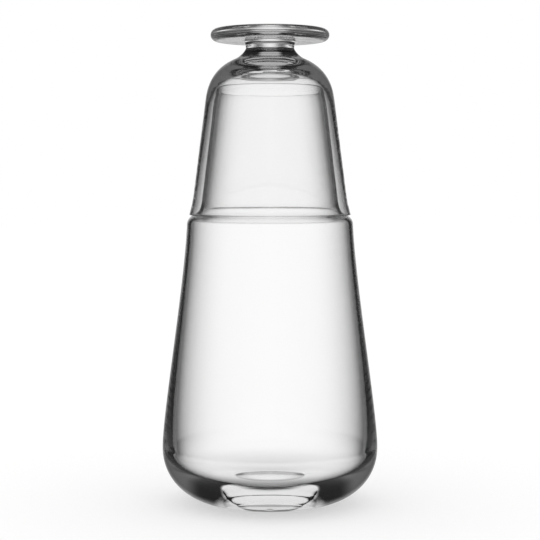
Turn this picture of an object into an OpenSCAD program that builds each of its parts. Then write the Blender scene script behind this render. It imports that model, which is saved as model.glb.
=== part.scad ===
// Bedside carafe with its footed tumbler, which stands upside down over the neck and closes it.
// Both are blown in clear glass, and every surface is turned about the one upright axis.
// Millimetres. The origin is the centre of the base, on the table, and +Z is up.

/* [Carafe body] */
// Widest radius of the body
belly_r = 56.9; // [53:0.1:60]
// Height of the widest ring above the table
belly_z = 30; // [26:0.5:34]
// Outer radius of the flat ring that the carafe stands on
stand_r = 22; // [20:0.5:30]
// Fullness of the heel between the stand ring and the belly, where 2 is an ellipse
heel_fullness = 2.12; // [1.8:0.02:2.6]
// Radius at the top of the tapering wall, just below the shoulder
shoulder_r = 43.7; // [43.2:0.1:45]
// Height of the ledge round the foot of the neck, just inside the tumbler's rim
ledge_z = 153.2; // [152.4:0.1:158]
// Radial width of the rounded shoulder outside the ledge
shoulder_w = 4.4; // [3.6:0.1:4.6]
// Height of the rounded shoulder below the ledge
shoulder_drop = 5.6; // [4:0.1:7]

/* [Carafe neck] */
// Outer radius that the neck's cone has at the ledge
neck_root_r = 36.6; // [35.5:0.1:37]
// Outer radius of the neck at its mouth
mouth_r = 28.7; // [26:0.1:29]
// Height of the mouth
mouth_z = 219.5; // [200:0.5:220]
// Radius of the cove between the ledge and the neck
neck_cove = 2; // [1:0.1:2.4]

/* [Carafe glass] */
// Thickness of the upper body and of the ledge
wall = 2; // [1.6:0.1:2.4]
// Thickness of the neck
neck_wall = 1.6; // [1.2:0.1:2]
// Extra thickness that the wall gains on its way down to the belly
wall_gain = 2.7; // [1:0.1:4]
// Thickness of the base at its centre
base_t = 12.2; // [8:0.1:15]
// Radius of the flat middle of the inner floor
inner_floor_r = 29; // [20:0.5:32]
// Rise of the punt, the shallow hollow under the base
punt_rise = 1.4; // [0.6:0.1:3]

/* [Tumbler bowl] */
// Height of the tumbler, from the foot that it stands on in use to its rim
tumbler_h = 97.3; // [96.8:0.1:106]
// Outer radius of the rim
rim_r = 42.4; // [42:0.1:43]
// Outer radius of the bowl where its rounded bottom meets the tapering wall
bowl_r = 33.9; // [33.6:0.1:35]
// Height of that place above the foot's standing face
bowl_z = 37.7; // [36:0.1:41]
// Height at which the bowl's rounded bottom would close on the axis, inside the stem
bowl_bottom_z = 12.7; // [12:0.1:14]
// Thickness of the glass at the rim
rim_t = 1.1; // [0.9:0.05:1.5]
// Thickness of the bowl's wall where its rounded inner bottom starts
bowl_t = 1.9; // [1.5:0.1:2.2]
// Height of that inner place above the foot's standing face
corner_z = 44; // [40:0.1:46]
// Height of the bowl's inner floor above the foot's standing face
floor_z = 20.2; // [18.5:0.1:21]
// Fullness of the inner bottom, squarer than the outer one
floor_fullness = 3.2; // [3:0.1:3.6]

/* [Tumbler foot and stem] */
// Radius of the foot
foot_r = 31.1; // [28:0.1:34]
// Thickness of the foot
foot_t = 6.2; // [5:0.1:7]
// Radius of the stem at its waist
waist_r = 12.7; // [11:0.05:13.5]
// Radius of the small bead where the stem meets the foot
bead_r = 13.3; // [13:0.1:15]
// Height at which the waist starts, above the foot's standing face
waist_z = 8.4; // [8:0.1:9]
// Height of the straight part of the waist
waist_h = 1.8; // [1.2:0.1:2.4]
// Radius at which the stem's flare runs into the bowl
flare_r = 18.5; // [17:0.1:21]

/* [Hidden] */
$fn = 96;
// Clearance where the tumbler's rim lies against the rounded shoulder
seat_gap = 0.12;
// Points along a quarter, the taper, the shoulder, the flare, the bowl, a lip, a small round and the punt
quarter_n = 14;
taper_n = 14;
shoulder_n = 7;
flare_n = 6;
bowl_n = 28;
lip_n = 8;
round_n = 3;
punt_n = 5;
// Points used only to find where the rim comes to rest
seat_n = 90;
// Lengths of the two handles that bend the tapering wall, and how far out the upper one leans
taper_low = 18;
taper_high = 33.7;
taper_lean = 1.7;
// Share of the shoulder's drop and width that the two handles of its curve take
shoulder_pull = 0.55;
// Power by which the wall's extra thickness grows downward
wall_power = 2;
// Fullness of the carafe's inner floor
inner_fullness = 2.15;
// Height at which the tapering wall ends, and radius at which the shoulder meets the ledge
shoulder_z = ledge_z - shoulder_drop;
ledge_r = shoulder_r - shoulder_w;
// Width of the flat ring that the carafe stands on
stand_w = 2.2;
// Radius of the full round at the edge of the tumbler's foot
foot_edge = foot_t / 2;
// Height of the bead above the foot, and the small rounds on it and above the waist
bead_h = 0.9;
bead_round = 0.35;
waist_round = 0.6;
// Fullness of the bowl's rounded bottom
bowl_fullness = 2.5;
// Radial step from the flare's end to the next point of the bowl's own curve
flare_step = 0.4;
// Handles of the flare's curve: the way it leaves the waist, and its length along the bowl
flare_low = [0.8, 1.8];
flare_high = 3;
// Length over which the rim turns out, and how far it does
lip_len = 11;
lip_out = 0.9;
// Angles by which the rounds of the mouth and the rim stop short of the walls beside them
mouth_stop = 8;
rim_stop = 20;
// A sine or cosine below one part in this many counts as zero
tiny_part = 1000000;
// Fullness of a circle or an ellipse
plain = 2;

// Point t of the way along a cubic curve from the first to the last of four points, drawn by the two between
function curve_point(h, t) =
    pow(1 - t, 3) * h[0] + 3 * pow(1 - t, 2) * t * h[1] + 3 * (1 - t) * t * t * h[2] + pow(t, 3) * h[3];

// Direction of that curve
function curve_way(h, t) =
    pow(1 - t, 2) * (h[1] - h[0]) + 2 * (1 - t) * t * (h[2] - h[1]) + t * t * (h[3] - h[2]);

// Unit normal on the right of a direction
function right_of(v) = [v[1], -v[0]] / norm(v);

// Sign of a number, with what is nearly zero counted as zero
function side(x) = sign(round(x * tiny_part));

// Quarter of a rounded form round centre c with half axes a and b, from angle u to angle v.
// A fullness of 2 gives an ellipse, and more is squarer.
function quarter(c, a, b, fullness, u, v, n) = [
    for (i = [0:n])
        let (q = u + (v - u) * i / n)
        c + [
            a * side(cos(q)) * pow(abs(cos(q)), 2 / fullness),
            b * side(sin(q)) * pow(abs(sin(q)), 2 / fullness)
        ]
];

// Rounded bottom under a wall that starts at w and leans out by the given slope, down by b to the axis.
// Each point slides sideways by the slope, so the bottom runs into the wall without a corner.
function leaning(w, b, slope, fullness, n) = [
    for (p = quarter([slope * b, w[1]], w[0] - slope * b, b, fullness, 270, 360, n))
        [p[0] + slope * (p[1] - w[1]), p[1]]
];

// Arc of radius f that rounds the corner b of the path from a through b to c
function rounded(a, b, c, f, n = 6) =
    let (
        p = (a - b) / norm(a - b),
        q = (c - b) / norm(c - b),
        half = acos(p * q) / 2,
        centre = b + (p + q) / norm(p + q) * f / sin(half),
        s = b + p * f / tan(half) - centre,
        e = b + q * f / tan(half) - centre,
        su = atan2(s[1], s[0]),
        turn = atan2(s[0] * e[1] - s[1] * e[0], s * e)
    )
    [for (i = [0:n]) centre + f * [cos(su + turn * i / n), sin(su + turn * i / n)]];

// The same list from its end to its start, and without its first point
function backward(list) = [for (i = [len(list) - 1:-1:0]) list[i]];
function rest(list) = [for (i = [1:len(list) - 1]) list[i]];

// Tapering wall, from the belly up to the shoulder's foot
shoulder_foot = [shoulder_r, shoulder_z];
taper_handle = [shoulder_r + taper_lean, shoulder_z - taper_high];
taper = [[belly_r, belly_z], [belly_r, belly_z + taper_low], taper_handle, shoulder_foot];

// Shoulder, which goes on in the wall's direction and turns in to the ledge
upward = (shoulder_foot - taper_handle) / norm(shoulder_foot - taper_handle);
shoulder = [
    shoulder_foot,
    shoulder_foot + upward * shoulder_drop * shoulder_pull,
    [ledge_r + shoulder_w * shoulder_pull, ledge_z],
    [ledge_r, ledge_z]
];

// Shallow dome under the base, inside the ring that the carafe stands on
punt_r = stand_r - stand_w;
punt = [for (i = [0:punt_n]) [punt_r * i / punt_n, punt_rise * (1 - pow(i / punt_n, 2))]];

// Outside of the carafe, from the stand ring up to the mouth
heel = quarter([stand_r, belly_z], belly_r - stand_r, belly_z, heel_fullness, 270, 360, quarter_n);
neck_foot = [neck_root_r, ledge_z];
neck_top = [mouth_r, mouth_z - neck_wall / 2];
mouth_mid = [mouth_r - neck_wall / 2, mouth_z - neck_wall / 2];

// Inside of the carafe: the same curves moved in by the thickness, which grows down to the base
neck_up = (neck_top - neck_foot) / norm(neck_top - neck_foot);
inner_neck_top = neck_top - right_of(neck_up) * neck_wall;
inner_neck_foot = inner_neck_top + neck_up * (ledge_z - wall - inner_neck_top[1]) / neck_up[1];
inner_shoulder = [
    for (i = [shoulder_n:-1:0])
        curve_point(shoulder, i / shoulder_n) - right_of(curve_way(shoulder, i / shoulder_n)) * wall
];
inner_taper = [
    for (i = [taper_n:-1:0])
        let (t = i / taper_n)
        curve_point(taper, t) - right_of(curve_way(taper, t)) * (wall + wall_gain * pow(1 - t, wall_power))
];
inner_belly = inner_taper[taper_n];
inner_floor = quarter(
    [inner_floor_r, inner_belly[1]], inner_belly[0] - inner_floor_r, inner_belly[1] - base_t,
    inner_fullness, 360, 270, quarter_n
);

// Outline of the carafe's glass, from the punt round the outside and back down the inside
carafe_outline = concat(
    punt,
    heel,
    [for (i = [1:taper_n]) curve_point(taper, i / taper_n)],
    [for (i = [1:shoulder_n]) curve_point(shoulder, i / shoulder_n)],
    rounded([shoulder_r, ledge_z], neck_foot, neck_top, neck_cove),
    quarter(mouth_mid, neck_wall / 2, neck_wall / 2, plain, mouth_stop, 180 - mouth_stop, lip_n),
    rounded(inner_neck_top, inner_neck_foot, inner_shoulder[0], neck_cove + wall),
    rest(inner_shoulder),
    rest(inner_taper),
    rest(inner_floor),
    [[0, base_t]]
);

// Outside of the tumbler as it stands in use, from its foot up to the rim
foot = quarter([foot_r - foot_edge, foot_edge], foot_edge, foot_edge, plain, 270, 450, lip_n);
rim_z = tumbler_h - rim_t / 2;
lip_z = rim_z - lip_len;
slope = (rim_r - lip_out - bowl_r) / (rim_z - bowl_z);
bowl_bottom = leaning([bowl_r, bowl_z], bowl_z - bowl_bottom_z, slope, bowl_fullness, bowl_n);
flare_z = lookup(flare_r, bowl_bottom);
bowl_way = [flare_step, lookup(flare_r + flare_step, bowl_bottom) - flare_z];
waist_top = [waist_r, waist_z + waist_h];
flare = [
    waist_top,
    waist_top + flare_low,
    [flare_r, flare_z] - bowl_way / norm(bowl_way) * flare_high,
    [flare_r, flare_z]
];
stem = concat(
    rounded([foot_r, foot_t], [bead_r, foot_t], [bead_r, waist_z], bead_round, round_n),
    rounded([bead_r, foot_t], [bead_r, foot_t + bead_h], [waist_r, waist_z], bead_round, round_n),
    [[waist_r, waist_z]],
    rounded([waist_r, waist_z], waist_top, flare[1], waist_round, round_n),
    [for (i = [1:flare_n]) curve_point(flare, i / flare_n)]
);

// Radius of the straight tapering wall at height z
function wall_r(z) = bowl_r + slope * (z - bowl_z);

// Last stretch of the wall with the thickness t taken off, turned out to the rim
function lip(t) = [
    for (i = [0:lip_n])
        let (z = lip_z + lip_len * i / lip_n)
        [wall_r(z) + lip_out * pow(i / lip_n, 2) - t, z]
];

// Inside of the bowl, with its rounded bottom fuller than the outside's, so that glass gathers over the stem
inner_wall_foot = [wall_r(corner_z) - bowl_t, corner_z];
inner_slope = (wall_r(lip_z) - rim_t - inner_wall_foot[0]) / (lip_z - corner_z);
inner_bottom = leaning(inner_wall_foot, corner_z - floor_z, inner_slope, floor_fullness, quarter_n);

// Outline of the tumbler's glass, up the outside, round the rim and down the inside to the floor
rim_mid = [rim_r - rim_t / 2, rim_z];
tumbler_outline = concat(
    [[0, 0]],
    foot,
    stem,
    [for (p = bowl_bottom) if (p[0] > flare_r + flare_step) p],
    lip(0),
    quarter(rim_mid, rim_t / 2, rim_t / 2, plain, rim_stop, 180 - rim_stop, lip_n),
    backward(lip(rim_t)),
    backward(inner_bottom)
);

// Height of the tumbler's foot once its rim, a round of radius rim_t / 2, lies on the shoulder
rim_reach = rim_t / 2 + seat_gap;
seat_z = max([
    for (i = [0:seat_n])
        let (
            p = curve_point(shoulder, i / seat_n),
            off = abs(p[0] - rim_mid[0])
        )
        if (off < rim_reach) p[1] + sqrt(pow(rim_reach, 2) - pow(off, 2))
]);
top_z = seat_z + rim_z;

// One solid of glass turned about the upright axis
module turned(outline) {
    rotate_extrude()
        polygon(outline);
}

// Water carafe with a straight flaring neck, a ledge for the tumbler and a heavy base
module carafe() {
    color([0.86, 0.9, 0.92, 0.4])
        turned(carafe_outline);
}

// Footed tumbler, turned over so that its rim rests on the carafe's shoulder
module tumbler() {
    color([0.8, 0.88, 0.95, 0.4])
        translate([0, 0, top_z])
            rotate([180, 0, 0])
                turned(tumbler_outline);
}

carafe();
tumbler();
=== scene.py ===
# %% [markdown]
# # A bedside carafe and its tumbler, in clear glass
# The real object is two pieces of blown glass. The carafe has a heavy base, a tapering body, a rounded
# shoulder and a straight neck. The tumbler has a foot and a short stem, and stands upside down over the
# neck. Glass has no colour of its own here, so all that is seen is what each surface bends and mirrors. The
# shapes have to be right through the whole wall, and the light has to have something dark for the edges to
# show.

# %% Load the fixed frame
import math

import bpy
import numpy as np
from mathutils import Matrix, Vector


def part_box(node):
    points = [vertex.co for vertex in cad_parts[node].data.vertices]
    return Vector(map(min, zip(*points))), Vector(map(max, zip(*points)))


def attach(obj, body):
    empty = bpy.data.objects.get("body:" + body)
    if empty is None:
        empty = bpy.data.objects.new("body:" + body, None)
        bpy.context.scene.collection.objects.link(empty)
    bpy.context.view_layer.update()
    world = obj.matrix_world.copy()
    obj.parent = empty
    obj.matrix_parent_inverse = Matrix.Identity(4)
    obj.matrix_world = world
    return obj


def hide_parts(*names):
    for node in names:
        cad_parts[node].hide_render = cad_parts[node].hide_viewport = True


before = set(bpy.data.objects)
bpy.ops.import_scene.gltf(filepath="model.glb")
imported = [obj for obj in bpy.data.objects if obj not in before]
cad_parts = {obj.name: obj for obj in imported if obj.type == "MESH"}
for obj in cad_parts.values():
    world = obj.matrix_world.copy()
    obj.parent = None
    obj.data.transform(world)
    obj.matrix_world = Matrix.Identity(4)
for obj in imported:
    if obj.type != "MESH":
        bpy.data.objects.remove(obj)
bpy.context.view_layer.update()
scene = bpy.context.scene
MM = 0.001

carafe_low, carafe_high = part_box("carafe")
tumbler_low, tumbler_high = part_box("tumbler")
print("carafe", [round(v / MM, 2) for v in carafe_high], "mm")
print("tumbler", [round(v / MM, 2) for v in tumbler_high], "mm")

# %% [markdown]
# ## The camera
# The photograph looks at the carafe from a little above its middle: the foot on top is seen from below and
# the base from above, which fixes the eye's height. How fast those two ellipses open fixes the distance. A
# long lens from there gives the photograph's mild perspective.

# %% Camera
EYE_HEIGHT = 0.16684
EYE_DISTANCE = 0.8351
AIM_HEIGHT = 0.12348
LENS_MM = 105.6
SENSOR_MM = 36.0

camera_data = bpy.data.cameras.new("camera")
camera_data.lens = LENS_MM
camera_data.sensor_width = SENSOR_MM
camera = bpy.data.objects.new("camera", camera_data)
camera.location = (0.0, -EYE_DISTANCE, EYE_HEIGHT)
looks_down = math.atan2(EYE_HEIGHT - AIM_HEIGHT, EYE_DISTANCE)
camera.rotation_euler = (math.pi / 2 - looks_down, 0.0, 0.0)
scene.collection.objects.link(camera)
scene.camera = camera
print("camera looks down by", round(math.degrees(looks_down), 2), "degrees")

# %% [markdown]
# ## Curves for an outline
# Both pieces are turned on one axis, as a glass-maker turns them on the iron, so a piece is one outline in
# radius and height. Two kinds of stretch make nearly all of it: a quarter that can be fuller than an ellipse,
# for bottoms and beads, and a cubic curve, for tapers and for shoulders that run smoothly into their
# neighbours. Each gives whole arrays of points, in millimetres.

# %% Quarter and cubic
def quarter(centre, across, up, fullness, start, end, count):
    """Points centre + (across * cos^(2/fullness), up * sin^(2/fullness)), from start to end degrees."""
    angle = np.radians(np.linspace(start, end, count))
    c, s = np.round(np.cos(angle), 12), np.round(np.sin(angle), 12)
    r = centre[0] + across * np.sign(c) * np.abs(c) ** (2 / fullness)
    z = centre[1] + up * np.sign(s) * np.abs(s) ** (2 / fullness)
    return np.column_stack([r, z])


def cubic(a, b, c, d, t):
    """Curve from a to d with handles b and c: the four points weighted by the Bernstein polynomials of t."""
    t = np.asarray(t)[:, None]
    a, b, c, d = map(np.asarray, (a, b, c, d))
    return (1 - t) ** 3 * a + 3 * (1 - t) ** 2 * t * b + 3 * (1 - t) * t**2 * c + t**3 * d


for fullness in (2.0, 3.0):
    halfway = quarter((0, 0), 1, 1, fullness, 0, 90, 3)[1]
    print("fullness", fullness, "passes halfway at", halfway.round(3))

# %% [markdown]
# ## The carafe's body and shoulder
# The widest radius and the height are read from the solid's box, and the other sizes are in millimetres. The
# body tapers on one cubic curve, and a second one rounds it over the shoulder. The shoulder ends in a crest
# that still climbs: a flat ledge, seen edge on, would mirror as a dark band that the real glass hasn't got.
# The inside isn't a copy of the outside. It is the outside moved in by a wall that is thin at the shoulder
# and grows towards the belly, because the glass of a blown bottle gathers at the bottom.

# %% Body and shoulder
belly_r = min(carafe_high[0], carafe_high[1]) / MM
belly_z = 30.0
shoulder_r, shoulder_w, shoulder_drop, shoulder_pull = 43.7, 4.4, 5.6, 0.55
ledge_z, crest_tilt = 153.2, 0.5
taper_low, taper_high, taper_lean = 18.0, 33.7, 1.7
wall, wall_gain = 2.0, 3.1
shoulder_z = ledge_z - shoulder_drop
ledge_r = shoulder_r - shoulder_w


def to_the_left(path):
    """Unit normals on the left of a path: its direction, from the neighbours, turned a quarter turn."""
    way = np.gradient(path, axis=0)
    way /= np.linalg.norm(way, axis=1)[:, None]
    return np.column_stack([-way[:, 1], way[:, 0]])


t = np.linspace(0, 1, 90)
shoulder_foot = np.array([shoulder_r, shoulder_z])
taper_handle = np.array([shoulder_r + taper_lean, shoulder_z - taper_high])
taper = cubic((belly_r, belly_z), (belly_r, belly_z + taper_low), taper_handle, shoulder_foot, t)
upward = (shoulder_foot - taper_handle) / np.linalg.norm(shoulder_foot - taper_handle)
crest = np.array([ledge_r, ledge_z])
crest_way = np.array([-1.0, crest_tilt]) / math.hypot(1.0, crest_tilt)
shoulder = cubic(
    shoulder_foot,
    shoulder_foot + upward * shoulder_drop * shoulder_pull,
    crest - crest_way * shoulder_w * shoulder_pull,
    crest,
    np.linspace(0, 1, 30),
)
wall_thickness = wall + wall_gain * (1 - t[:, None]) ** 2
inner_taper = (taper + to_the_left(taper) * wall_thickness)[::-1]
inner_shoulder = (shoulder + to_the_left(shoulder) * wall)[::-1]
belly_in = inner_taper[-1]
print("wall", wall_thickness.min(), "to", wall_thickness.max(), "mm, belly inside", belly_in.round(2))

# %% [markdown]
# ## The neck and the cove at its foot
# The neck is a straight cone with a thin wall. Where it leaves the shoulder the glass runs in a cove, drawn
# by a cubic that starts along the neck and ends along the crest, so that no corner is left on either side.
# The inside has a cove too, a little taller.

# %% Neck and cove
neck_root_r, mouth_r, neck_wall = 36.6, 28.7, 1.6
cove_height, inner_cove_gain = 6.5, 1.0
neck_pull, crest_pull = 0.55, 0.3
mouth_z = carafe_high[2] / MM

neck_foot = np.array([neck_root_r, ledge_z])
neck_top = np.array([mouth_r, mouth_z - neck_wall / 2])
neck_way = (neck_top - neck_foot) / np.linalg.norm(neck_top - neck_foot)
neck_in = np.array([-neck_way[1], neck_way[0]]) * neck_wall
inner_neck_top = neck_top + neck_in
inner_neck_foot = inner_neck_top + neck_way * (ledge_z - wall - inner_neck_top[1]) / neck_way[1]


def cove(line_top, line_foot, crest_point, height):
    """Cubic from the neck's line, at a height over its foot, down into the crest's own direction."""
    neck_point = line_foot + (line_top - line_foot) * height / (line_top - line_foot)[1]
    span = np.linalg.norm(neck_point - crest_point)
    return cubic(
        neck_point,
        neck_point - neck_way * span * neck_pull,
        crest_point + crest_way * span * crest_pull,
        crest_point,
        np.linspace(0, 1, 20),
    )


outer_cove = cove(neck_top, neck_foot, crest, cove_height)[::-1]
inner_cove = cove(inner_neck_top, inner_neck_foot, inner_shoulder[0], cove_height + inner_cove_gain)
print("cove outside from", outer_cove[0].round(2), "to", outer_cove[-1].round(2), "mm")

# %% [markdown]
# ## The carafe's base
# The base is one thick lens of glass. Below, the carafe stands on a ring, and inside the ring the glass rises
# into a shallow punt, steeply first and then flat. Inside, the floor is a low dome with a small pip in the
# middle. The hollow's corner is a little fuller, and so squarer, than the heel outside.

# %% Base, floor and the whole outline
stand_r, stand_w, punt_rise, punt_power = 22.0, 3.2, 1.4, 2.5
base_t, floor_rise, inner_floor_r = 10.4, 0.6, 20.5
pip_rise, pip_r = 0.2, 1.4
heel_fullness, inner_fullness = 2.12, 2.23
mouth_from, mouth_to = 8, 172

across = np.linspace(0, 1, 36)
punt = np.column_stack([(stand_r - stand_w) * across, punt_rise * (1 - across**punt_power)])
heel = quarter((stand_r, belly_z), belly_r - stand_r, belly_z, heel_fullness, 270, 360, 48)
floor_across = inner_floor_r * across
pip = pip_rise * np.exp(-((floor_across / pip_r) ** 2))
inner_floor = np.column_stack([floor_across, base_t + floor_rise * (1 - across**2) + pip])[::-1]
hollow_w, hollow_h = belly_in[0] - inner_floor_r, belly_in[1] - base_t
hollow = quarter((inner_floor_r, belly_in[1]), hollow_w, hollow_h, inner_fullness, 360, 270, 48)
half = neck_wall / 2
mouth = quarter((mouth_r - half, mouth_z - half), half, half, 2, mouth_from, mouth_to, 18)

outside = [punt, heel, taper[1:], shoulder[1:], outer_cove[1:]]
inside = [inner_cove, inner_shoulder[1:], inner_taper[1:], hollow[1:], inner_floor[1:]]
carafe_outline = np.vstack(outside + [mouth] + inside)
print("carafe outline:", len(carafe_outline), "points, height", carafe_outline[:, 1].max())

# %% [markdown]
# ## The tumbler's wall
# It is drawn as it stands in use, foot down, and then turned over. The bowl is a straight leaning wall over a
# rounded bottom. The bottom is a quarter that leans with the wall, so the two meet without a corner. Near the
# rim a parabola turns the lip out a little. Inside, the bottom is fuller than outside, so the glass is thick
# over the stem, and it thins to 1.1 mm at the rim.

# %% Bowl of the tumbler
top_z = tumbler_high[2] / MM
tumbler_h = (tumbler_high[2] - tumbler_low[2]) / MM
rim_r = min(tumbler_high[0], tumbler_high[1]) / MM
bowl_r, bowl_z, bowl_bottom_z, bowl_fullness = 33.9, 37.7, 12.7, 2.5
rim_t, bowl_t, corner_z, floor_z, floor_fullness = 1.1, 1.9, 44.0, 20.2, 3.2
lip_len, lip_out = 11.0, 0.9
rim_from, rim_to = 15, 165
rim_z = tumbler_h - rim_t / 2
lip_z = rim_z - lip_len
slope = (rim_r - lip_out - bowl_r) / (rim_z - bowl_z)


def wall_r(z):
    """Radius of the straight tapering wall: the bowl's radius plus the slope times the height above it."""
    return bowl_r + slope * (z - bowl_z)


def leaning(wall_foot, depth, slope, fullness, count):
    """Quarter under a leaning wall: each point slides out by slope times its height, so no corner is left."""
    set_in = slope * depth
    points = quarter((set_in, wall_foot[1]), wall_foot[0] - set_in, depth, fullness, 270, 360, count)
    points[:, 0] += slope * (points[:, 1] - wall_foot[1])
    return points


def bowl_wall(thickness, count=40):
    """Last stretch of the wall, less the thickness, plus a parabola that turns the lip out."""
    z = np.linspace(lip_z, rim_z, count)
    return np.column_stack([wall_r(z) + lip_out * np.linspace(0, 1, count) ** 2 - thickness, z])


bowl_bottom = leaning((bowl_r, bowl_z), bowl_z - bowl_bottom_z, slope, bowl_fullness, 120)
inner_foot = np.array([wall_r(corner_z) - bowl_t, corner_z])
inner_slope = (wall_r(lip_z) - rim_t - inner_foot[0]) / (lip_z - corner_z)
inner_bottom = leaning(inner_foot, corner_z - floor_z, inner_slope, floor_fullness, 90)
rim = quarter((rim_r - rim_t / 2, rim_z), rim_t / 2, rim_t / 2, 2, rim_from, rim_to, 16)
print("bowl leans out by", round(math.degrees(math.atan(slope)), 2), "degrees")

# %% [markdown]
# ## The tumbler's stem and foot
# The foot is a disc with a fully rounded edge. A low bead and a narrow waist join it to the bowl, and the
# waist flares into the bowl's bottom along its own direction. Small arcs round the corners, each touching
# both legs of its corner.

# %% Stem, foot and the whole outline
foot_r, foot_t = 31.1, 6.2
bead_r, bead_h, bead_round = 13.3, 0.9, 0.35
waist_r, waist_z, waist_h, waist_round, throat_round = 12.7, 8.4, 1.8, 0.5, 0.6
flare_r, flare_step, flare_low, flare_high = 18.5, 0.4, (0.8, 1.8), 3.0
foot_edge = foot_t / 2


def rounded(before, corner, after, radius, count):
    """Arc of the given radius that touches both legs of the corner, centred on the corner's bisector."""
    before, corner, after = map(np.asarray, (before, corner, after))
    p = (before - corner) / np.linalg.norm(before - corner)
    q = (after - corner) / np.linalg.norm(after - corner)
    half_angle = math.acos(p @ q) / 2
    centre = corner + (p + q) / np.linalg.norm(p + q) * radius / math.sin(half_angle)
    s = corner + p * radius / math.tan(half_angle) - centre
    e = corner + q * radius / math.tan(half_angle) - centre
    start = math.atan2(s[1], s[0])
    angle = start + np.linspace(0, math.atan2(s[0] * e[1] - s[1] * e[0], s @ e), count)
    return centre + radius * np.column_stack([np.cos(angle), np.sin(angle)])


def on_bottom(r):
    """The point of the bowl's bottom at a radius."""
    return np.array([r, np.interp(r, bowl_bottom[:, 0], bowl_bottom[:, 1])])


flare_end, beyond = on_bottom(flare_r), on_bottom(flare_r + flare_step)
waist_low = np.array([waist_r, waist_z])
waist_top = np.array([waist_r, waist_z + waist_h])
bead_low, bead_top = (bead_r, foot_t), (bead_r, foot_t + bead_h)
flare_handle = flare_end - (beyond - flare_end) / np.linalg.norm(beyond - flare_end) * flare_high
flare = cubic(waist_top, waist_top + flare_low, flare_handle, flare_end, np.linspace(0, 1, 24))

tumbler_outline = np.vstack([
    [(0.0, 0.0)],
    quarter((foot_r - foot_edge, foot_edge), foot_edge, foot_edge, 2, 270, 450, 40),
    rounded((foot_r, foot_t), bead_low, (bead_r, waist_z), bead_round, 8),
    rounded(bead_low, bead_top, waist_low, bead_round, 6),
    rounded(bead_top, waist_low, waist_top, waist_round, 6),
    rounded(waist_low, waist_top, waist_top + flare_low, throat_round, 6),
    flare[1:],
    bowl_bottom[bowl_bottom[:, 0] > flare_r + flare_step],
    bowl_wall(0),
    rim,
    bowl_wall(rim_t)[::-1],
    inner_bottom[::-1],
])
print("tumbler outline:", len(tumbler_outline), "points, height", tumbler_outline[:, 1].max())

# %% [markdown]
# ## Turning an outline into a solid
# The grid has the outline one way and the angle the other. Long legs of the outline are cut first, so that no
# face is long and thin. The two ends of the outline lie on the axis, so each becomes one pole with a fan of
# triangles, and the wall is closed all round with its faces pointing out of the glass.

# %% Turned surface
SEGMENTS = 192
LONGEST_LEG = 2.0


def evened(path, longest):
    """The same path with every leg longer than the given length cut into equal shorter ones."""
    legs = np.linalg.norm(np.diff(path, axis=0), axis=1)
    parts = np.maximum(1, np.ceil(legs / longest).astype(int))
    along = np.concatenate([np.arange(n) / n + i for i, n in enumerate(parts)] + [[len(legs)]])
    place = np.arange(len(path))
    return np.column_stack([np.interp(along, place, path[:, 0]), np.interp(along, place, path[:, 1])])


def turned_points(rings, ends):
    """Point (i, j) is (r_i cos a_j, r_i sin a_j, z_i), and then come the two poles on the axis."""
    angle = np.linspace(0, 2 * np.pi, SEGMENTS, endpoint=False)
    grid = np.empty((len(rings), SEGMENTS, 3))
    grid[..., 0] = rings[:, :1] * np.cos(angle)
    grid[..., 1] = rings[:, :1] * np.sin(angle)
    grid[..., 2] = rings[:, 1:]
    poles = np.array([[0, 0, z] for z in ends])
    return np.vstack([grid.reshape(-1, 3), poles])


def turned_faces(ring_count):
    """Corner numbers and face sizes: a quad between neighbours on two rings, and a fan round each pole."""
    here = np.arange(ring_count * SEGMENTS).reshape(ring_count, SEGMENTS)
    beside = np.roll(here, -1, axis=1)
    quads = np.stack([here[:-1], beside[:-1], beside[1:], here[1:]], axis=-1).reshape(-1, 4)
    first, last = here.size, here.size + 1
    low_fan = np.stack([np.full(SEGMENTS, first), beside[0], here[0]], axis=-1)
    high_fan = np.stack([np.full(SEGMENTS, last), here[-1], beside[-1]], axis=-1)
    corners = np.concatenate([quads.ravel(), low_fan.ravel(), high_fan.ravel()])
    return corners, np.concatenate([np.full(len(quads), 4), np.full(2 * SEGMENTS, 3)])


print("one turn has", SEGMENTS, "steps of", 360 / SEGMENTS, "degrees")

# %% [markdown]
# The points and faces go into the mesh as whole arrays. A face with four corners counts as two triangles, and
# a piece stays under 200,000 of them.

# %% Two pieces of glass
def turned(name, outline):
    """A piece: the outline, evened and in metres, carried round the axis."""
    outline = evened(outline, LONGEST_LEG) * MM
    rings = outline[1:-1]
    points = turned_points(rings, (outline[0, 1], outline[-1, 1]))
    corners, sizes = turned_faces(len(rings))

    mesh = bpy.data.meshes.new(name)
    mesh.vertices.add(len(points))
    mesh.vertices.foreach_set("co", points.ravel())
    mesh.loops.add(len(corners))
    mesh.loops.foreach_set("vertex_index", corners)
    mesh.polygons.add(len(sizes))
    mesh.polygons.foreach_set("loop_start", np.concatenate([[0], np.cumsum(sizes)[:-1]]))
    mesh.polygons.foreach_set("use_smooth", np.ones(len(sizes), dtype=bool))
    mesh.update(calc_edges=True)
    mesh.validate()
    piece = bpy.data.objects.new(name, mesh)
    scene.collection.objects.link(piece)
    print(name, len(points), "points", int((sizes - 2).sum()), "triangles")
    return piece


upside_down = tumbler_outline[::-1] * (1, -1) + (0, top_z)
carafe_piece = turned("carafe_glass", carafe_outline)
tumbler_piece = turned("tumbler_glass", upside_down)

# %% [markdown]
# ## A bench for shader nodes
# Every finish and light here is a small graph of nodes. Four short helpers keep each graph readable: one adds
# a node with its values or links, one does arithmetic, one makes a soft step, which is a ramp with rounded
# ends, and one chooses between two values.

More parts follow.
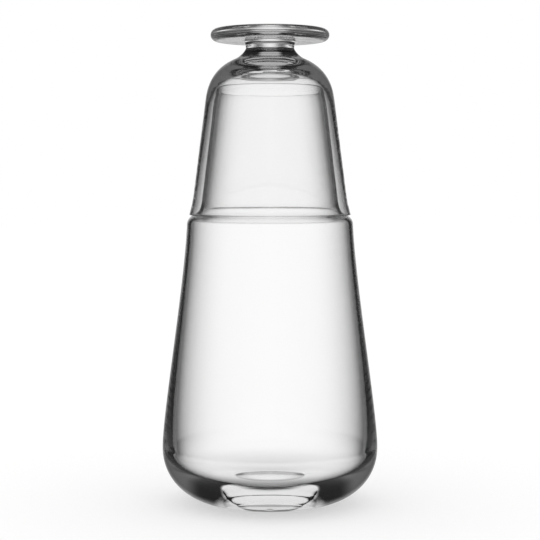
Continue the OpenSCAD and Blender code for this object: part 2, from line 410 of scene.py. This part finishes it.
# %% Node helpers
class Bench:
    """A node tree with short ways to add what this scene uses."""

    def __init__(self, tree, keep=False):
        self.tree = tree
        if not keep:
            tree.nodes.clear()

    def add(self, kind, inputs=None, **settings):
        """A node with its settings and, by socket number or name, its values or links."""
        made = self.tree.nodes.new(kind)
        for key, value in settings.items():
            setattr(made, key, value)
        for key, value in (inputs or {}).items():
            if isinstance(value, bpy.types.NodeSocket):
                self.tree.links.new(value, made.inputs[key])
            else:
                made.inputs[key].default_value = value
        return made

    def maths(self, operation, *values):
        """The result of one Math node."""
        return self.add("ShaderNodeMath", dict(enumerate(values)), operation=operation).outputs[0]

    def smooth(self, value, low, high, out_low=0.0, out_high=1.0):
        """Soft step: out_low below low, out_high above high, and 3x^2 - 2x^3 of the way in between."""
        inputs = {0: value, 1: low, 2: high, 3: out_low, 4: out_high}
        return self.add("ShaderNodeMapRange", inputs, interpolation_type="SMOOTHSTEP").outputs[0]

    def mix(self, choice, yes, no):
        """The first value where the choice is 1 and the second where it is 0."""
        return self.maths("ADD", no, self.maths("MULTIPLY", choice, self.maths("SUBTRACT", yes, no)))


print("a bench can", [name for name in vars(Bench) if not name.startswith("_")])

# %% [markdown]
# ## Groups, for an effect that both pieces share
# A node group is a small machine with named inputs and one output. It is built once, and each material then
# places it with its own values.

# %% An empty group
def new_group(name, inputs, output, output_kind):
    """An empty shader group with number inputs, given as names and defaults, and one output."""
    group = bpy.data.node_groups.new(name, "ShaderNodeTree")
    for label, value in inputs.items():
        socket = group.interface.new_socket(label, in_out="INPUT", socket_type="NodeSocketFloat")
        socket.default_value = value
    group.interface.new_socket(output, in_out="OUTPUT", socket_type=output_kind)
    print("new group:", name, "with inputs", list(inputs))
    return group


# %% [markdown]
# ## The skin of blown glass
# Blown glass is never quite flat. Turning it in a wet wooden mould leaves faint level rings, and the way
# that it was drawn out leaves faint upright streaks. All are less than a tenth of a millimetre deep, but each
# bends the light a little, and so the edges waver. Noise that is squeezed along one direction gives them, as
# heights in metres, and a Bump node turns heights into a normal. Both pieces of glass use this, so it is a
# group with its own inputs.

# %% Ripple group
RING_WIDE, STREAK_TALL = 8.0, 12.0


def ripple_group():
    """Rings: noise on (x, y) / (8 pitch), z / pitch. Streaks: noise on (x, y) / pitch, z / (12 pitch)."""
    sizes = {"Ring Pitch": 0.006, "Ring Depth": 0.0, "Streak Pitch": 0.01, "Streak Depth": 0.0}
    group = new_group("blown glass ripples", sizes, "Normal", "NodeSocketVector")
    bench = Bench(group)
    given = bench.add("NodeGroupInput").outputs
    here = bench.add("ShaderNodeTexCoord").outputs["Object"]
    place = bench.add("ShaderNodeSeparateXYZ", {0: here}).outputs

    def height(pitch, depth, wide, tall):
        """Depth times noise that repeats about every pitch * wide across and pitch * tall up."""
        spans = [bench.maths("MULTIPLY", pitch, times) for times in (wide, wide, tall)]
        scaled = {i: bench.maths("DIVIDE", place[i], span) for i, span in enumerate(spans)}
        point = bench.add("ShaderNodeCombineXYZ", scaled).outputs[0]
        noise = bench.add("ShaderNodeTexNoise", {"Vector": point, "Scale": 1.0, "Detail": 1.0})
        return bench.maths("MULTIPLY", noise.outputs[0], depth)

    rings = height(given["Ring Pitch"], given["Ring Depth"], RING_WIDE, 1.0)
    streaks = height(given["Streak Pitch"], given["Streak Depth"], 1.0, STREAK_TALL)
    bump = {"Height": bench.maths("ADD", rings, streaks), "Distance": 1.0, "Strength": 1.0}
    bench.add("NodeGroupOutput", {0: bench.add("ShaderNodeBump", bump).outputs[0]})
    return group


ripples = ripple_group()
print(ripples.name, "has", len(ripples.nodes), "nodes")

# %% [markdown]
# ## Where the glass meets the table
# The ring that the carafe stands on and the flat of the tumbler's foot are the only places that rub on a
# table. They lose their polish in fine specks. The wear is a roughness that is nothing away from a given
# height and speckled at it, so one group serves both pieces.

# %% Wear group
FULL_WEAR_WITHIN = 0.4
SPECKS_START, SPECKS_FULL = 0.5, 0.7


def wear_group():
    """Roughness: most, times a soft step towards the worn height, times specks of noise."""
    sizes = {"Height": 0.0, "Reach": 0.001, "Speck Size": 0.001, "Most": 0.2}
    group = new_group("table wear", sizes, "Roughness", "NodeSocketFloat")
    bench = Bench(group)
    given = bench.add("NodeGroupInput").outputs
    here = bench.add("ShaderNodeTexCoord").outputs["Object"]
    z = bench.add("ShaderNodeSeparateXYZ", {0: here}).outputs[2]
    away = bench.maths("ABSOLUTE", bench.maths("SUBTRACT", z, given["Height"]))
    near = bench.smooth(bench.maths("DIVIDE", away, given["Reach"]), FULL_WEAR_WITHIN, 1.0, 1.0, 0.0)
    fine = bench.maths("DIVIDE", 1.0, given["Speck Size"])
    noise = bench.add("ShaderNodeTexNoise", {"Vector": here, "Scale": fine, "Detail": 2.0})
    specks = bench.smooth(noise.outputs[0], SPECKS_START, SPECKS_FULL)
    worn = bench.maths("MULTIPLY", bench.maths("MULTIPLY", near, specks), given["Most"])
    bench.add("NodeGroupOutput", {0: worn})
    return group


wear = wear_group()
print(wear.name, "has", len(wear.nodes), "nodes")

# %% [markdown]
# ## Clear glass
# A Principled shader with full transmission and, away from the wear, no roughness bends light as soda-lime
# glass does, at an index of 1.52. It has no colour, because the real glass is neutral even through the thick
# base. Each piece places both groups with its own values: the carafe's skin is almost even, and the tumbler's
# shows its rings.

# %% Glass materials
GLASS_INDEX = 1.52


def clear_glass(name, ripple_sizes, wear_sizes):
    """Principled glass, white and fully transmitting, with ripples in Normal and wear in Roughness."""
    material = bpy.data.materials.new(name)
    material.use_nodes = True
    bench = Bench(material.node_tree, keep=True)
    shader = material.node_tree.nodes["Principled BSDF"].inputs
    shader["Base Color"].default_value = (1.0, 1.0, 1.0, 1.0)
    shader["IOR"].default_value = GLASS_INDEX
    shader["Transmission Weight"].default_value = 1.0
    for group, sizes, socket in ((ripples, ripple_sizes, "Normal"), (wear, wear_sizes, "Roughness")):
        placed = bench.add("ShaderNodeGroup", node_tree=group)
        for label, value in sizes.items():
            placed.inputs[label].default_value = value
        bench.tree.links.new(placed.outputs[0], shader[socket])
    return material


carafe_glass = clear_glass(
    "carafe clear glass",
    {"Ring Pitch": 0.007, "Ring Depth": 6e-6, "Streak Pitch": 0.006, "Streak Depth": 6e-6},
    {"Height": 0.0, "Reach": 0.0008, "Speck Size": 0.0009, "Most": 0.12},
)
tumbler_glass = clear_glass(
    "tumbler clear glass",
    {"Ring Pitch": 0.003, "Ring Depth": 8e-5, "Streak Pitch": 0.006, "Streak Depth": 2e-5},
    {"Height": float(tumbler_high[2]), "Reach": 0.0005, "Speck Size": 0.0007, "Most": 0.1},
)
carafe_piece.data.materials.append(carafe_glass)
tumbler_piece.data.materials.append(tumbler_glass)
print("materials:", carafe_glass.name, "and", tumbler_glass.name)

# %% [markdown]
# ## Light
# Glass has to be lit by what stands round it. A photographer sets a bright panel behind it, dark cards
# beside it and a broad soft light in front: rays that go straight through see the panel, and rays that the
# edges bend aside see the cards, which draws each edge dark. Here eight tall panels with dim gaps stand round
# the table for the rays that go straight through, so the glass is as clear from any of eight sides. They come
# from the cosine of eight times the bearing: half of one plus it is 1 at the middle of each panel and 0
# between two. They fade far below, where rays would meet the table, and a little overhead.

# %% Panels for rays that go straight through
PANEL_COUNT = 8
PANEL_LIGHT, GAP_LIGHT = 1.0, 0.15
LOW_START, LOW_END, LOW_LIGHT = -0.77, -0.33, 0.3
HIGH_START, HIGH_END, HIGH_LIGHT = 0.42, 0.8, 0.6

world = bpy.data.worlds.new("studio")
scene.world = world
world.use_nodes = True
sky = Bench(world.node_tree)
way = sky.add("ShaderNodeSeparateXYZ", {0: sky.add("ShaderNodeTexCoord").outputs["Generated"]}).outputs
bearing = sky.maths("ARCTAN2", way["X"], way["Y"])
wave = sky.maths("COSINE", sky.maths("MULTIPLY", bearing, float(PANEL_COUNT)))
closeness = sky.maths("MULTIPLY", sky.maths("ADD", wave, 1.0), 0.5)
panel = sky.maths("ADD", GAP_LIGHT, sky.maths("MULTIPLY", closeness, PANEL_LIGHT - GAP_LIGHT))
low_end = sky.smooth(way["Z"], LOW_START, LOW_END, LOW_LIGHT, 1.0)
high_end = sky.smooth(way["Z"], HIGH_START, HIGH_END, 1.0, HIGH_LIGHT)
straight_light = sky.maths("MULTIPLY", panel, sky.maths("MULTIPLY", low_end, high_end))
print("panels every", 360 / PANEL_COUNT, "degrees")

# %% [markdown]
# ## What a mirrored ray sees
# A ray that a surface has mirrored sees one panel behind, near-black cards beside it and the soft light in
# front. Three kinds of ray need their own strengths: one mirrored off the outside, one mirrored inside the
# glass, and a tired one, mirrored at least four times, which the thick base and foot are full of. The bearing
# is 0 straight behind the carafe. All of this light keeps near level, and dims for steep rays.

# %% Panel, cards and soft light for mirrored rays
AT_LEAST_ONCE, TIRED_AFTER = 0.5, 3.5
BACK_LIGHT, BACK_LIGHT_TIRED, CARD_LIGHT = 0.45, 0.85, 0.02
BACK_CORE = math.radians(8)
BACK_EDGE_OUTSIDE, BACK_EDGE_INSIDE, BACK_EDGE_TIRED = np.radians([30, 15, 19]).tolist()
FRONT_LIGHT_OUTSIDE, FRONT_LIGHT_INSIDE, FRONT_LIGHT_TIRED = 1.5, 0.5, 0.12
FRONT_START, FRONT_FULL = math.radians(55), math.radians(120)
FRONT_START_TIRED, FRONT_FULL_TIRED = math.radians(35), math.radians(60)
STEEP_START, STEEP_START_TIRED, STEEP_END, STEEP_LIGHT = 0.5, 0.2, 0.8, 0.1

aside = sky.maths("ABSOLUTE", bearing)
light_path = sky.add("ShaderNodeLightPath").outputs
inside_glass = sky.maths("GREATER_THAN", light_path["Transmission Depth"], AT_LEAST_ONCE)
tired = sky.maths("GREATER_THAN", light_path["Glossy Depth"], TIRED_AFTER)

steep_start = sky.mix(tired, STEEP_START_TIRED, STEEP_START)
level = sky.smooth(sky.maths("ABSOLUTE", way["Z"]), steep_start, STEEP_END, 1.0, STEEP_LIGHT)
front_light = sky.mix(inside_glass, FRONT_LIGHT_INSIDE, FRONT_LIGHT_OUTSIDE)
front_light = sky.mix(tired, FRONT_LIGHT_TIRED, front_light)
front_start = sky.mix(tired, FRONT_START_TIRED, FRONT_START)
front_full = sky.mix(tired, FRONT_FULL_TIRED, FRONT_FULL)
front = sky.maths("MULTIPLY", sky.smooth(aside, front_start, front_full), front_light)
edge_inside = sky.mix(tired, BACK_EDGE_TIRED, BACK_EDGE_INSIDE)
back_edge = sky.mix(inside_glass, edge_inside, BACK_EDGE_OUTSIDE)
back_light = sky.mix(tired, BACK_LIGHT_TIRED, BACK_LIGHT)
back = sky.smooth(aside, BACK_CORE, back_edge, back_light, CARD_LIGHT)
mirrored_light = sky.maths("MULTIPLY", sky.maths("ADD", back, front), level)
print("world:", len(sky.tree.nodes), "nodes so far")

# %% [markdown]
# ## Which light a ray gets
# The camera itself sees plain white, and so does the floor. A ray that glass has bent or mirrored gets one of
# the two lights above, and it is of the mirrored kind once it has been mirrored at all.

# %% World background
mirrored = sky.maths("GREATER_THAN", light_path["Glossy Depth"], AT_LEAST_ONCE)
in_glass = sky.mix(mirrored, mirrored_light, straight_light)
bent = sky.maths("MAXIMUM", light_path["Is Transmission Ray"], light_path["Is Glossy Ray"])
strength = sky.mix(bent, in_glass, 1.0)
background = sky.add("ShaderNodeBackground", {0: (1.0, 1.0, 1.0, 1.0), 1: strength})
sky.add("ShaderNodeOutputWorld", {0: background.outputs[0]})
print("world:", len(sky.tree.nodes), "nodes")

# %% [markdown]
# ## The floor
# A pale floor that the glass stands on. Half of what the camera sees of it is paint, lit by the world, and
# half is a glow for the camera alone, so it is white and keeps a soft shadow. It isn't seen through the
# glass, where the panels take its place.

# %% Floor
FLOOR_HALF = 6.0
FLOOR_PAINT = 0.5
FLOOR_GLOW = 0.52

floor_mesh = bpy.data.meshes.new("floor")
corners = [(x * FLOOR_HALF, y * FLOOR_HALF, 0.0) for x, y in ((-1, -1), (1, -1), (1, 1), (-1, 1))]
floor_mesh.from_pydata(corners, [], [(0, 1, 2, 3)])
floor = bpy.data.objects.new("floor", floor_mesh)
scene.collection.objects.link(floor)
floor_material = bpy.data.materials.new("floor paint")
floor_material.use_nodes = True
paint_bench = Bench(floor_material.node_tree)
paint = paint_bench.add("ShaderNodeBsdfDiffuse", {0: (FLOOR_PAINT, FLOOR_PAINT, FLOOR_PAINT, 1)})
seen = paint_bench.add("ShaderNodeLightPath").outputs["Is Camera Ray"]
glow_level = paint_bench.maths("MULTIPLY", seen, FLOOR_GLOW)
glow = paint_bench.add("ShaderNodeEmission", {0: (1, 1, 1, 1), 1: glow_level})
both = paint_bench.add("ShaderNodeAddShader", {0: paint.outputs[0], 1: glow.outputs[0]})
paint_bench.add("ShaderNodeOutputMaterial", {0: both.outputs[0]})
floor_mesh.materials.append(floor_material)
floor.visible_transmission = False
floor.visible_glossy = False
print("floor is", 2 * FLOOR_HALF, "m across")

# %% [markdown]
# ## Room for light to bounce
# Inside the thick base and the foot, light is mirrored dozens of times before it leaves. Cut short, those
# rays turn black, so the limits are far over Blender's own 12. Standard view keeps white at white.

# %% Render settings that glass needs
MIRROR_AND_BEND_LIMIT = 96

scene.view_settings.view_transform = "Standard"
scene.cycles.max_bounces = MIRROR_AND_BEND_LIMIT
scene.cycles.transmission_bounces = MIRROR_AND_BEND_LIMIT
scene.cycles.glossy_bounces = MIRROR_AND_BEND_LIMIT
print("light bounces up to", scene.cycles.max_bounces, "times")

# %% [markdown]
# ## Tying the glass to the frame
# Each piece moves with one body of the frame and stands for that body's solid, which is hidden. So when the
# tumbler lifts, its glass lifts too.

# %% Tie the pieces to the frame
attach(carafe_piece, "carafe_body")
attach(tumbler_piece, "tumbler_body")
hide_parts("carafe")
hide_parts("tumbler")
print("tied:", carafe_piece.name, "and", tumbler_piece.name)

# %% [markdown]
